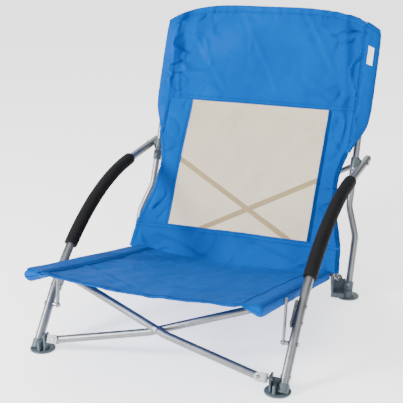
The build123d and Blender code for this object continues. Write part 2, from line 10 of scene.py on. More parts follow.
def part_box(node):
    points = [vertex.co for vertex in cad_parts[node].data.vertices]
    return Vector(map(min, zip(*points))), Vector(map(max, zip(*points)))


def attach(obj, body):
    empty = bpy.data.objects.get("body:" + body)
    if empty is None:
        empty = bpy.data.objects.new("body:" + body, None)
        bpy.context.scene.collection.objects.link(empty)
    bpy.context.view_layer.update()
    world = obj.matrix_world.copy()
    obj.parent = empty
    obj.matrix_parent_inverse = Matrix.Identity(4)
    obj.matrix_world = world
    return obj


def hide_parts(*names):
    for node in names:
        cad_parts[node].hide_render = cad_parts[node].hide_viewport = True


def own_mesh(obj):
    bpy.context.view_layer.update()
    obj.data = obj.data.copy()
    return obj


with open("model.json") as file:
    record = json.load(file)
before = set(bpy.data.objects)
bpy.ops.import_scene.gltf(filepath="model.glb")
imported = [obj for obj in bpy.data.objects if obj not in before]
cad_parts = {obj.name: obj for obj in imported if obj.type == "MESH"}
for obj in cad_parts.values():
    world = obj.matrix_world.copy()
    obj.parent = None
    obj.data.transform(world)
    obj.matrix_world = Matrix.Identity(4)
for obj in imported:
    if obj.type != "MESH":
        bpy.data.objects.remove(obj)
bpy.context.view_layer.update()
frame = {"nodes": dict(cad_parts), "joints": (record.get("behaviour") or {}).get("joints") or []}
SIDES = {"left": -1, "right": 1}
joint_at = {j["name"]: Vector(j["pos_m"]) for j in frame["joints"]}
fold_axis = Vector([j for j in frame["joints"] if j["name"] == "fold"][0]["axis"])


def middle(node):
    """The middle of a CAD node's box."""
    low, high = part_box(node)
    return (low + high) / 2


# ---- camera --------------------------------------------------------------------------------------
FRONT_FEET_Y = middle("right_front_foot").y
AZIMUTH, ELEVATION = radians(21.015), radians(17.818)
back = Vector((sin(AZIMUTH) * cos(ELEVATION), -cos(AZIMUTH) * cos(ELEVATION), sin(ELEVATION)))
right = Vector((cos(AZIMUTH), sin(AZIMUTH), 0))
up = back.cross(right)
camera_data = bpy.data.cameras.new("camera")
camera_data.sensor_width = 36
camera_data.lens = 84.77
camera = bpy.data.objects.new("camera", camera_data)
place = right * 0.095 + up * 0.342 + back * 1.933 + Vector((0, FRONT_FEET_Y, 0))
camera.matrix_world = Matrix.Translation(place) @ Matrix((right, up, back)).transposed().to_4x4()
bpy.context.scene.collection.objects.link(camera)
bpy.context.scene.camera = camera

# ---- places read from the frame ------------------------------------------------------------------
BEHIND = -fold_axis                                  # square to the uprights' plane
UPWARD = Vector((0, -BEHIND.z, BEHIND.y))            # along the uprights
UPRIGHT_MID = middle("right_upright")
RAIL_PIVOT = joint_at["right_rail_pivot"]
RAIL_X = middle("right_seat_rail").x
rail_run = middle("right_seat_rail") - RAIL_PIVOT
RAIL_DIR = Vector((0, rail_run.y, rail_run.z)).normalized()
RAIL_UP = Vector((0, -RAIL_DIR.z, -RAIL_DIR.y))
if RAIL_UP.z < 0:
    RAIL_UP = -RAIL_UP
rail_cap_front = Vector((0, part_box("right_rail_cap")[0].y, middle("right_rail_cap").z))
RAIL_FRONT = (rail_cap_front - RAIL_PIVOT).dot(RAIL_DIR)

# ---- sizes of the soft goods, metres -------------------------------------------------------------
CLOTH = 0.0013
SLEEVE_X = 0.2455            # stitch line beside each upright
SLEEVE_LOW = 0.372
BACK_EDGE = (                # height and half width of the back
    (0.058, 0.272), (0.080, 0.2695), (0.130, 0.264), (0.160, 0.255), (0.200, 0.241), (0.245, 0.233),
    (0.285, 0.234), (0.330, 0.250), (0.370, 0.273), (0.400, 0.281), (0.450, 0.283),
    (0.580, 0.283), (0.612, 0.279),
)
BACK_STRAIGHT = 0.400        # the back lies on the uprights above this height
BACK_LOW_Z = 0.058
BACK_TOP, CROWN, CROWN_X = 0.650, 0.044, 0.279
WINDOW_X, WINDOW_LOW, WINDOW_HIGH = 0.180, 0.131, 0.415
SEAT_SAG = 0.016
SEAT_REAR = 0.016            # from the rails' pivots to the seat's rear edge
SEAT_STITCH = 0.032          # from a rail's axis in to its sleeve's stitch line
THREAD = 0.00055


# ---- small mathematics ---------------------------------------------------------------------------
def smooth(t):
    t = min(max(t, 0.0), 1.0)
    return t * t * (3 - 2 * t)


def mix(a, b, t):
    return a + (b - a) * t


def through(points, at):
    """A smooth value through (place, value) pairs, constant beyond their ends."""
    if at <= points[0][0]:
        return points[0][1]
    if at >= points[-1][0]:
        return points[-1][1]
    i = max(k for k in range(len(points) - 1) if points[k][0] <= at)
    (x0, y0), (x1, y1) = points[i], points[i + 1]
    before, after = points[max(i - 1, 0)], points[min(i + 2, len(points) - 1)]
    h = x1 - x0
    t = (at - x0) / h
    start = (y1 - before[1]) / (x1 - before[0]) * h
    end = (after[1] - y0) / (after[0] - x0) * h
    return (
        y0 * (2 * t**3 - 3 * t**2 + 1) + start * (t**3 - 2 * t**2 + t)
        + y1 * (3 * t**2 - 2 * t**3) + end * (t**3 - t**2)
    )


def round_path(points, t):
    """A point at share t of a smooth open line through points."""
    spans = len(points) - 1
    i = min(int(t * spans), spans - 1)
    f = t * spans - i
    p = [Vector(points[min(max(k, 0), spans)]) for k in (i - 1, i, i + 1, i + 2)]
    return 0.5 * (
        2 * p[1] + (p[2] - p[0]) * f + (2 * p[0] - 5 * p[1] + 4 * p[2] - p[3]) * f * f
        + (3 * p[1] - p[0] - 3 * p[2] + p[3]) * f**3
    )


def rough(a, b, scale, seed):
    """Smooth noise from about -1 to 1 with bumps of the given size."""
    return noise.noise(Vector((a / scale, b / scale, seed)))


def crumple(a, b, scale, seed, width=0.07):
    """Thin curved creases, from 0 to 1, that wander over the cloth and fade in and out."""
    line = exp(-((rough(a, b, scale, seed) / width) ** 2))
    return line * smooth(0.5 + 1.6 * rough(a, b, scale * 0.8, seed + 5.5))


def ridge(distance, width):
    return exp(-((distance / width) ** 2))


def near_line(x, z, start, end):
    """Distance of (x, z) from a line, and the share along it."""
    dx, dz = end[0] - start[0], end[1] - start[1]
    length = hypot(dx, dz)
    along = ((x - start[0]) * dx + (z - start[1]) * dz) / length**2
    off = ((x - start[0]) * dz - (z - start[1]) * dx) / length
    past = max(0.0, -along, along - 1) * length
    return off, along, past


# ---- materials -----------------------------------------------------------------------------------
def node_tree(name):
    material = bpy.data.materials.new(name)
    material.use_nodes = True
    nodes, links = material.node_tree.nodes, material.node_tree.links
    shader = nodes["Principled BSDF"]
    return material, nodes, links, shader


def noise_node(nodes, links, scale, detail=4.0, rough_share=0.55, stretch=None):
    """Noise over the object's own coordinates, in metres, stretched if asked."""
    texture = nodes.new("ShaderNodeTexNoise")
    texture.inputs["Scale"].default_value = scale
    texture.inputs["Detail"].default_value = detail
    texture.inputs["Roughness"].default_value = rough_share
    source = nodes.new("ShaderNodeTexCoord").outputs["Object"]
    if stretch:
        mapping = nodes.new("ShaderNodeMapping")
        mapping.inputs["Scale"].default_value = stretch
        links.new(source, mapping.inputs["Vector"])
        source = mapping.outputs["Vector"]
    links.new(source, texture.inputs["Vector"])
    return texture.outputs["Fac"]


def ramp(nodes, links, fac, stops):
    """A colour ramp through (place, colour or grey) stops."""
    node = nodes.new("ShaderNodeValToRGB")
    elements = node.color_ramp.elements
    while len(elements) < len(stops):
        elements.new(0.5)
    for element, (at, value) in zip(elements, stops):
        element.position = at
        element.color = (*value, 1) if hasattr(value, "__len__") else (value, value, value, 1)
    links.new(fac, node.inputs["Fac"])
    return node.outputs["Color"]


def blend_colours(nodes, links, fac, a, b, mode="MIX"):
    node = nodes.new("ShaderNodeMix")
    node.data_type = "RGBA"
    node.blend_type = mode
    for socket, value in ((0, fac), (6, a), (7, b)):
        if isinstance(value, (int, float)):
            node.inputs[socket].default_value = value
        elif hasattr(value, "is_linked"):
            links.new(value, node.inputs[socket])
        else:
            node.inputs[socket].default_value = (*value, 1)
    return node.outputs[2]


def combine(nodes, links, operation, a, b):
    node = nodes.new("ShaderNodeMath")
    node.operation = operation
    for socket, value in enumerate((a, b)):
        if isinstance(value, (int, float)):
            node.inputs[socket].default_value = value
        else:
            links.new(value, node.inputs[socket])
    return node.outputs[0]


def bump(nodes, links, height, distance, strength=1.0, under=None):
    node = nodes.new("ShaderNodeBump")
    node.inputs["Distance"].default_value = distance
    node.inputs["Strength"].default_value = strength
    links.new(height, node.inputs["Height"])
    if under is not None:
        links.new(under, node.inputs["Normal"])
    return node.outputs["Normal"]


def threads(nodes, links, pitch):
    """Two crossed sets of threads over the cloth's own metres: heights, and which is on top."""
    uv = nodes.new("ShaderNodeTexCoord").outputs["UV"]
    split = nodes.new("ShaderNodeSeparateXYZ")
    links.new(uv, split.inputs[0])
    heights = []
    for axis in ("X", "Y"):
        turn = combine(nodes, links, "MULTIPLY", split.outputs[axis], 2 * pi / pitch)
        wave = combine(nodes, links, "SINE", turn, 0.0)
        heights.append(combine(nodes, links, "ABSOLUTE", wave, 0.0))
    product = combine(nodes, links, "MULTIPLY", heights[0], heights[1])
    either = combine(nodes, links, "MAXIMUM", heights[0], heights[1])
    return product, either


def cloth_material(name, dark, light, pitch):
    """Tightly woven polyester: weave, slight fading, painted highlight streaks and a soft sheen."""
    material, nodes, links, shader = node_tree(name)
    product, _ = threads(nodes, links, pitch)
    fading = noise_node(nodes, links, 9.0, 3.0)
    # painted highlight: thin lighter streaks laid at random over the cloth, standing in for the light caught
    # on its creases
    painted_highlight_streaks = noise_node(nodes, links, 420.0, 2.0, stretch=(1, 1, 0.12))
    tone = ramp(nodes, links, fading, ((0.3, dark), (0.72, light)))
    tone = blend_colours(nodes, links, ramp(nodes, links, painted_highlight_streaks, ((0.35, 0.0), (0.7, 0.20))), tone, light)
    weave = ramp(nodes, links, product, ((0.0, 0.86), (0.55, 1.0)))
    links.new(blend_colours(nodes, links, 1.0, tone, weave, "MULTIPLY"), shader.inputs["Base Color"])
    links.new(ramp(nodes, links, fading, ((0.3, 0.62), (0.7, 0.74))), shader.inputs["Roughness"])
    creases = noise_node(nodes, links, 55.0, 5.0, 0.6)
    soft_bump = bump(nodes, links, creases, 0.0012, 0.5)
    links.new(bump(nodes, links, product, 0.00012, 0.6, soft_bump), shader.inputs["Normal"])
    shader.inputs["Sheen Weight"].default_value = 0.06
    shader.inputs["Sheen Roughness"].default_value = 0.35
    shader.inputs["Sheen Tint"].default_value = (0.05, 0.35, 1.0, 1)
    shader.inputs["Specular IOR Level"].default_value = 0.06
    shader.inputs["Specular Tint"].default_value = (0.06, 0.36, 1.0, 1)
    return material


def mesh_material(name):
    """Open net of fine beige threads, with the holes between them see-through."""
    material, nodes, links, shader = node_tree(name)
    product, either = threads(nodes, links, 0.0030)
    fading = noise_node(nodes, links, 11.0, 3.0)
    tone = ramp(nodes, links, fading, ((0.25, (0.36, 0.27, 0.12)), (0.75, (0.44, 0.34, 0.17))))
    edge = ramp(nodes, links, either, ((0.0, 0.80), (0.8, 1.0)))
    links.new(blend_colours(nodes, links, 1.0, tone, edge, "MULTIPLY"), shader.inputs["Base Color"])
    holes = ramp(nodes, links, either, ((0.80, 0.12), (0.90, 1.0)))
    links.new(holes, shader.inputs["Alpha"])
    links.new(bump(nodes, links, either, 0.00015, 0.5), shader.inputs["Normal"])
    links.new(ramp(nodes, links, fading, ((0.3, 0.55), (0.7, 0.7))), shader.inputs["Roughness"])
    shader.inputs["Specular IOR Level"].default_value = 0.3
    return material


def metal_material(name, dark, light, roughness, brush=(1, 1, 1), bump_size=0.00004):
    material, nodes, links, shader = node_tree(name)
    cloud = noise_node(nodes, links, 26.0, 5.0, 0.6)
    lines = noise_node(nodes, links, 900.0, 3.0, stretch=brush)
    tone = ramp(nodes, links, cloud, ((0.28, dark), (0.72, light)))
    scratched = ramp(nodes, links, lines, ((0.35, 0.90), (0.65, 1.0)))
    links.new(blend_colours(nodes, links, 1.0, tone, scratched, "MULTIPLY"), shader.inputs["Base Color"])
    low, high = roughness
    gloss = combine(nodes, links, "MULTIPLY", combine(nodes, links, "ADD", cloud, lines), 0.5)
    links.new(ramp(nodes, links, gloss, ((0.35, low), (0.65, high))), shader.inputs["Roughness"])
    links.new(bump(nodes, links, lines, bump_size, 0.5, rounded(nodes, 0.0004)), shader.inputs["Normal"])
    shader.inputs["Metallic"].default_value = 1.0
    return material


def rounded(nodes, radius):
    node = nodes.new("ShaderNodeBevel")
    node.samples = 4
    node.inputs["Radius"].default_value = radius
    return node.outputs["Normal"]


def plastic_material(name, dark, light, roughness, radius=0.0009):
    """Moulded plastic: fine spark-eroded grain, faint flow marks, softened edges."""
    material, nodes, links, shader = node_tree(name)
    cloud = noise_node(nodes, links, 34.0, 4.0)
    grain = noise_node(nodes, links, 1500.0, 2.0)
    links.new(ramp(nodes, links, cloud, ((0.3, dark), (0.7, light))), shader.inputs["Base Color"])
    low, high = roughness
    links.new(ramp(nodes, links, cloud, ((0.3, low), (0.7, high))), shader.inputs["Roughness"])
    links.new(bump(nodes, links, grain, 0.00006, 0.6, rounded(nodes, radius)), shader.inputs["Normal"])
    shader.inputs["Specular IOR Level"].default_value = 0.32
    return material


def foam_material(name):
    """Closed-cell foam tube: matt black skin with fine cells and dull patches."""
    material, nodes, links, shader = node_tree(name)
    cloud = noise_node(nodes, links, 40.0, 4.0)
    cells = nodes.new("ShaderNodeTexVoronoi")
    cells.inputs["Scale"].default_value = 1300.0
    links.new(nodes.new("ShaderNodeTexCoord").outputs["Object"], cells.inputs["Vector"])
    tone = ramp(nodes, links, cloud, ((0.3, (0.0045, 0.0045, 0.0050)), (0.7, (0.0085, 0.0085, 0.0095))))
    links.new(tone, shader.inputs["Base Color"])
    links.new(ramp(nodes, links, cloud, ((0.3, 0.62), (0.7, 0.82))), shader.inputs["Roughness"])
    dents = bump(nodes, links, noise_node(nodes, links, 160.0, 3.0), 0.0004, 0.5)
    links.new(bump(nodes, links, cells.outputs["Distance"], 0.00010, 0.7, dents), shader.inputs["Normal"])
    shader.inputs["Specular IOR Level"].default_value = 0.12
    return material


def label_material(name):
    """Woven satin label."""
    material, nodes, links, shader = node_tree(name)
    product, _ = threads(nodes, links, 0.0009)
    cloud = noise_node(nodes, links, 120.0, 3.0)
    tone = ramp(nodes, links, cloud, ((0.3, (0.72, 0.73, 0.76)), (0.7, (0.84, 0.84, 0.84))))
    weave = ramp(nodes, links, product, ((0.0, 0.88), (0.6, 1.0)))
    links.new(blend_colours(nodes, links, 1.0, tone, weave, "MULTIPLY"), shader.inputs["Base Color"])
    links.new(bump(nodes, links, product, 0.0001, 0.5), shader.inputs["Normal"])
    links.new(ramp(nodes, links, cloud, ((0.3, 0.45), (0.7, 0.6))), shader.inputs["Roughness"])
    return material


looks = {
    "blue_fabric": cloth_material("blue_cloth", (0.0010, 0.058, 0.275), (0.0016, 0.074, 0.335), 0.0012),
    "beige_mesh": mesh_material("beige_net"),
    "white_label": label_material("woven_label"),
    "black_foam": foam_material("foam"),
    "satin_steel": metal_material(
        "satin_tube", (0.20, 0.205, 0.21), (0.27, 0.275, 0.28), (0.32, 0.44), (1, 0.04, 1),
    ),
    "bright_steel": metal_material(
        "bright_tube", (0.20, 0.205, 0.21), (0.27, 0.275, 0.28), (0.38, 0.50), (1, 0.05, 1),
    ),
    "dark_steel": metal_material("bracket_steel", (0.13, 0.14, 0.15), (0.20, 0.21, 0.22), (0.38, 0.52)),
    "zinc_hardware": metal_material("zinc", (0.30, 0.30, 0.30), (0.42, 0.42, 0.41), (0.26, 0.42)),
    "grey_plastic": plastic_material(
        "grey_moulding", (0.052, 0.072, 0.084), (0.070, 0.094, 0.108), (0.34, 0.46),
    ),
    "white_plastic": plastic_material("white_moulding", (0.36, 0.37, 0.38), (0.44, 0.44, 0.44), (0.34, 0.46)),
}
# stitch thread: partly its own darker blue, partly painted shade of the stitch holes and the shadow along the
# seams
dark_thread_and_shade_look = cloth_material("thread", (0.0006, 0.026, 0.150), (0.0009, 0.034, 0.180), 0.0006)

soft_nodes = {"seat_fabric", "back_fabric", "mesh_window", "label_tag", "left_foam_grip", "right_foam_grip"}
for node_name, node_object in frame["nodes"].items():
    if node_name in soft_nodes:
        continue
    for material_slot in node_object.material_slots:
        material_slot.material = looks[material_slot.material.name.split(".")[0]]


# ---- making meshes -------------------------------------------------------------------------------
def new_object(name, bm, materials, sharp=50):
    mesh = bpy.data.meshes.new(name)
    bm.normal_update()
    bm.to_mesh(mesh)
    bm.free()
    for look in materials:
        mesh.materials.append(look)
    obj = bpy.data.objects.new(name, mesh)
    bpy.context.scene.collection.objects.link(obj)
    for polygon in mesh.polygons:
        polygon.use_smooth = True
    mesh.set_sharp_from_angle(angle=radians(sharp))
    return obj


def applied(obj, sharp=50):
    """The object with its modifiers made part of its mesh."""
    bpy.context.view_layer.update()
    evaluated = obj.evaluated_get(bpy.context.evaluated_depsgraph_get())
    mesh = bpy.data.meshes.new_from_object(evaluated)
    obj.modifiers.clear()
    obj.data = mesh
    for polygon in mesh.polygons:
        polygon.use_smooth = True
    mesh.set_sharp_from_angle(angle=radians(sharp))
    return obj


def cloth_grid(bm, columns, rows, place, uv_place=None, keep=None):
    """Adds a grid of faces: place(u, v) gives each point, uv_place its place on the flat cloth in metres."""
    uv_layer = bm.loops.layers.uv.verify()
    verts = {}
    for r, v in enumerate(rows):
        for c, u in enumerate(columns):
            verts[c, r] = bm.verts.new(place(u, v))
    faces = []
    for r in range(len(rows) - 1):
        for c in range(len(columns) - 1):
            corners = ((c, r), (c + 1, r), (c + 1, r + 1), (c, r + 1))
            if keep is not None and not keep((columns[c] + columns[c + 1]) / 2, (rows[r] + rows[r + 1]) / 2):
                continue
            face = bm.faces.new([verts[k] for k in corners])
            faces.append(face)
            for loop, (i, j) in zip(face.loops, corners):
                if uv_place is None:
                    co = loop.vert.co
                    loop[uv_layer].uv = (co.x, hypot(co.y, co.z))
                else:
                    loop[uv_layer].uv = uv_place(columns[i], rows[j])
    for vert in [v for v in bm.verts if not v.link_faces]:
        bm.verts.remove(vert)
    return faces


def thicken(obj, thickness, offset=-1.0):
    modifier = obj.modifiers.new("thickness", "SOLIDIFY")
    modifier.thickness = thickness
    modifier.offset = offset
    modifier.use_even_offset = True
    modifier.use_quality_normals = True
    return applied(obj)


def steps(*pieces):
    """Evenly divided stretches: (start, end, count), joined end to end."""
    values = [pieces[0][0]]
    for start, end, count in pieces:
        values += [mix(start, end, (k + 1) / count) for k in range(count)]
    return values


def stitches(bm, path, normal_of, pitch=0.0042, length=0.0031, radius=THREAD):
    """Short raised threads along a line of points, each standing on the cloth."""
    run = 0.0
    lengths = [0.0]
    for a, b in zip(path, path[1:]):
        run += (b - a).length
        lengths.append(run)

    def at(distance):
        i = 0
        while i < len(lengths) - 2 and lengths[i + 1] < distance:
            i += 1
        span = lengths[i + 1] - lengths[i]
        return path[i].lerp(path[i + 1], (distance - lengths[i]) / span if span else 0)

    count = int(run / pitch)
    for k in range(count):
        start, end = at(k * pitch), at(k * pitch + length)
        if (end - start).length < length * 0.3:
            continue
        along = (end - start).normalized()
        outward = normal_of((start + end) / 2)
        across = along.cross(outward).normalized()
        rings = []
        for share, width, rise in (
            (0.0, 0.45, -0.2), (0.25, 1.0, 0.55), (0.75, 1.0, 0.55), (1.0, 0.45, -0.2),
        ):
            centre = start.lerp(end, share) + outward * radius * rise
            ring = []
            for turn in range(6):
                angle = turn * pi / 3
                spoke = across * cos(angle) + outward * sin(angle) * 0.8
                ring.append(bm.verts.new(centre + spoke * radius * width))
            rings.append(ring)
        for first, second in zip(rings, rings[1:]):
            for turn in range(6):
                following = (turn + 1) % 6
                face = bm.faces.new((first[turn], first[following], second[following], second[turn]))
                face.material_index = 1
        bm.faces.new(list(reversed(rings[0]))).material_index = 1
        bm.faces.new(rings[-1]).material_index = 1


def add_strips(obj, strips):
    """Sews folded strips of cloth onto a piece, as part of it: each is (columns, rows, place)."""
    joined = bmesh.new()
    joined.from_mesh(obj.data)
    for strip_columns, strip_rows, strip_place in strips:
        strip_bm = bmesh.new()
        cloth_grid(strip_bm, strip_columns, strip_rows, strip_place)
        strip = new_object("strip", strip_bm, [looks["blue_fabric"]])
        thicken(strip, CLOTH * 0.7, 0.0)
        joined.from_mesh(strip.data)
        bpy.data.objects.remove(strip)
    joined.to_mesh(obj.data)
    joined.free()
    return obj


def add_stitches(obj, lines, normal_of):
    """Sews lines of stitches onto a cloth piece, as part of it."""
    bm = bmesh.new()
    bm.from_mesh(obj.data)
    for line in lines:
        stitches(bm, line, normal_of)
    bm.to_mesh(obj.data)
    bm.free()
    obj.data.materials.append(dark_thread_and_shade_look)
    return obj


# ---- the back ------------------------------------------------------------------------------------
def upright_y(z):
    return UPRIGHT_MID.y + (z - UPRIGHT_MID.z) * UPWARD.y / UPWARD.z


def back_half(z):
    return through(BACK_EDGE, z)


def back_top(x):
    return BACK_TOP - CROWN * abs(x / CROWN_X) ** 4


def back_hem(x):
    return 0.0590 + 0.0135 * (x / 0.25) ** 2


def back_ripple(x, z):
    """How far the back's cloth stands forward of its flat shape."""
    total = 0.0042 * rough(x, z, 0.15, 1.5) + 0.0020 * rough(x, z, 0.055, 7.1)
    corner_share = ridge(hypot(abs(x) - 0.24, z - 0.61), 0.11)
    edge_share = ridge(abs(x) - 0.235, 0.05)
    total += 0.0036 * crumple(x, z, 0.075, 31.0) * (0.35 + corner_share + 0.7 * edge_share)
    total -= 0.0030 * crumple(x, z, 0.050, 33.0) * (0.25 + corner_share + 0.8 * edge_share)
    # soft folds that run from the top corners and beside the sleeves
    for side, depth in ((-1, 0.0022), (1, 0.0040)):
        off, along, past = near_line(x, z, (side * 0.212, 0.635), (side * 0.236, 0.440))
        wander = 0.006 * rough(z, 0.0, 0.05, 3.0 + side)
        total -= depth * ridge(off + wander, 0.010) * ridge(past, 0.02) * (0.6 + 0.5 * rough(z, x, 0.04, 9.0))
        total += depth * 0.7 * ridge(off + wander - side * 0.019, 0.012) * ridge(past, 0.02)
        dx, dz = x - side * 0.262, z - 0.604
        reach = hypot(dx, dz)
        if reach > 0.002:
            fan = sin(7.0 * (dz / reach) + 3.2 * side + 5 * rough(x, z, 0.09, 4.2))
            total += 0.0021 * fan * ridge(reach - 0.055, 0.045)
    # creases left by folding
    for start, end, depth in (
        ((-0.06, 0.615), (0.03, 0.470), 0.0011), ((0.10, 0.630), (0.17, 0.520), 0.0014),
        ((-0.19, 0.560), (-0.10, 0.450), 0.0010), ((0.12, 0.480), (0.20, 0.440), 0.0015),
        ((-0.20, 0.110), (-0.08, 0.080), 0.0014), ((0.06, 0.118), (0.19, 0.084), 0.0014),
    ):
        off, along, past = near_line(x, z, start, end)
        total += depth * (ridge(off, 0.006) - 0.8 * ridge(off - 0.011, 0.008)) * ridge(past, 0.02)
    # pulls of the seams
    seams = (abs(z - 0.4205), abs(z - 0.1255), abs(back_top(x) - 0.013 - z), abs(abs(x) - 0.241))
    for k, distance in enumerate(seams):
        run = x if k < 3 else z
        total += 0.0011 * rough(run, 0.0, 0.011, 20.0 + k) * ridge(distance, 0.010)
        total -= 0.0007 * ridge(distance, 0.0022)
    return 2.2 * total


def flat_back_y(z):
    """The back's middle layer without ripples: on the uprights above, and straight to the crease below."""
    bend = upright_y(BACK_STRAIGHT) - 0.0098 / BEHIND.y
    low = joint_at["right_rail_pivot"].y - 0.026
    above = upright_y(z) - 0.0098 / BEHIND.y
    below = low + (bend - low) * (z - BACK_LOW_Z) / (BACK_STRAIGHT - BACK_LOW_Z)
    return mix(below, above, smooth((z - BACK_STRAIGHT + 0.035) / 0.07))


def window_calm(x, z):
    """Less ripple in and round the mesh window, which is stretched flat."""
    inside = max(abs(x) - WINDOW_X, abs(z - (WINDOW_LOW + WINDOW_HIGH) / 2) - (WINDOW_HIGH - WINDOW_LOW) / 2)
    return mix(0.35, 1.0, smooth(inside / 0.05 + 0.3))


def back_surface(x, z, forward=0.0):
    ripple = back_ripple(x, z) * window_calm(x, z)
    if abs(x) > 0.225:
        ripple = mix(ripple, abs(ripple), smooth((abs(x) - 0.225) / 0.02))
    return Vector((x, flat_back_y(z) - ripple - forward, z))


def panel_point(u, v):
    """u in [-3, 3] and v in [0, 3]: whole numbers lie on the panel's edges and the window's."""
    if v <= 1:
        z = mix(BACK_LOW_Z, WINDOW_LOW, v)
    elif v <= 2:
        z = mix(WINDOW_LOW, WINDOW_HIGH, v - 1)
    else:
        z = mix(WINDOW_HIGH, BACK_TOP, v - 2)
    for _ in range(3):
        edge = back_half(z) if z < 0.3 else min(back_half(z), SLEEVE_X)
        x = WINDOW_X * u if abs(u) <= 1 else (mix(WINDOW_X, edge, (abs(u) - 1) / 2) * (1 if u > 0 else -1))
        if v <= 1:
            z = mix(back_hem(x), WINDOW_LOW, v)
        elif v > 2:
            z = mix(WINDOW_HIGH, back_top(x), v - 2)
    return x, z


def panel_place(u, v):
    x, z = panel_point(u, v)
    return back_surface(x, z)


def panel_uv(u, v):
    x, z = panel_point(u, v)
    return (x, z / UPWARD.z)


def front_normal(_):
    return Vector((0, -BEHIND.y, -BEHIND.z))


columns = steps((-3, -1, 22), (-1, 1, 90), (1, 3, 22))
rows = steps((0, 1, 16), (1, 2, 70), (2, 3, 62))
bm = bmesh.new()
cloth_grid(bm, columns, rows, panel_place, panel_uv, lambda u, v: not (abs(u) < 1 and 1 < v < 2))
back_panel = new_object("back_panel", bm, [looks["blue_fabric"]])
thicken(back_panel, CLOTH)


LAP = CLOTH * 0.45           # the strips' middle, in front of the cloth's face
ON_TOP = CLOTH * 0.85        # stitches, on the strips


def band(low_x, high_x, low_z_of, high_z_of):
    """A strip across the back."""
    return (
        steps((low_x, high_x, 130)), steps((0, 1, 4)),
        lambda x, v: back_surface(x, mix(low_z_of(x), high_z_of(x), v), LAP + 0.0003 * sin(pi * v)),
    )


def post(low_x_of, high_x_of, low_z, high_z):
    """A strip up the back."""
    return (
        steps((0, 1, 4)), steps((low_z, high_z, 90)),
        lambda u, z: back_surface(mix(low_x_of(z), high_x_of(z), u), z, LAP + 0.0003 * sin(pi * u)),
    )


strips = [
    band(-0.2448, 0.2448, lambda x: back_top(x) - 0.0165, lambda x: back_top(x) - 0.0006),
    band(-0.2448, 0.2448, lambda x: WINDOW_HIGH + 0.0010, lambda x: WINDOW_HIGH + 0.0115),
    band(-0.2630, 0.2630, lambda x: WINDOW_LOW - 0.0115, lambda x: WINDOW_LOW - 0.0010),
]
for side in (-1, 1):
    strips.append(post(
        lambda z: side * (WINDOW_X + 0.0008), lambda z: side * (WINDOW_X + 0.0085), WINDOW_LOW, WINDOW_HIGH,
    ))
    strips.append(post(
        lambda z: side * (back_half(z) - 0.0105), lambda z: side * (back_half(z) - 0.0006), 0.074, 0.326,
    ))
add_strips(back_panel, strips)


def across_line(z_of, low_x, high_x, count=160):
    """A line of points on the back's front face, from side to side."""
    return [
        back_surface(x, z_of(x), ON_TOP)
        for x in (mix(low_x, high_x, k / count) for k in range(count + 1))
    ]


def rise_line(x_of, low_z, high_z, count=160):
    return [
        back_surface(x_of(z), z, ON_TOP)
        for z in (mix(low_z, high_z, k / count) for k in range(count + 1))
    ]


back_lines = [
    across_line(lambda x: back_top(x) - 0.0145, -0.244, 0.244),
    across_line(lambda x: WINDOW_HIGH + 0.0030, -0.244, 0.244),
    across_line(lambda x: WINDOW_HIGH + 0.0095, -0.244, 0.244),
    across_line(lambda x: WINDOW_LOW - 0.0030, -0.262, 0.262),
    across_line(lambda x: WINDOW_LOW - 0.0095, -0.262, 0.262),
]
for side in (-1, 1):
    back_lines.append(rise_line(
        lambda z: side * (WINDOW_X + 0.0065), WINDOW_LOW - 0.003, WINDOW_HIGH + 0.003,
    ))
    back_lines.append(rise_line(lambda z: side * (SLEEVE_X - 0.0022), 0.335, 0.622))
    back_lines.append(rise_line(lambda z: side * (back_half(z) - 0.0085), 0.080, 0.325))
add_stitches(back_panel, back_lines, front_normal)


# the net behind the window
def net_place(u, v):
    x, z = u * (WINDOW_X + 0.008), mix(WINDOW_LOW - 0.009, WINDOW_HIGH + 0.009, v)
    sway = 0.0016 * rough(x + z, x - z, 0.06, 40.0) + 0.0010 * ridge(x * 0.8 - z + 0.24, 0.012)
    calm = smooth((1 - abs(u)) * 6) * smooth((0.5 - abs(v - 0.5)) * 9)
    return back_surface(x, z, -CLOTH * 1.1 - 0.0003) + Vector((0, sway * calm, 0))


bm = bmesh.new()
cloth_grid(
    bm, steps((-1, 1, 90)), steps((0, 1, 72)), net_place,
    lambda u, v: (u * (WINDOW_X + 0.008), mix(WINDOW_LOW, WINDOW_HIGH, v) / UPWARD.z),
)
mesh_panel = new_object("mesh_panel", bm, [looks["beige_mesh"]])
thicken(mesh_panel, 0.0005)

# ---- the back's sleeves, loose tubes of cloth round the uprights ---------------------------------
# across and behind, in metres from the stitch line and from the upright's plane,
# from the front layer to the rear
SLEEVE_LOOP = (
    (0.0, -0.0098), (0.006, -0.0102), (0.014, -0.0108), (0.023, -0.0104), (0.030, -0.0082), (0.0355, -0.0040),
    (0.0370, 0.0010), (0.0350, 0.0062), (0.028, 0.0098), (0.019, 0.0108), (0.011, 0.0092), (0.0050, 0.0030),
    (0.0012, -0.0050), (0.0, -0.0084),
)
SLEEVE_WIDE = 0.037


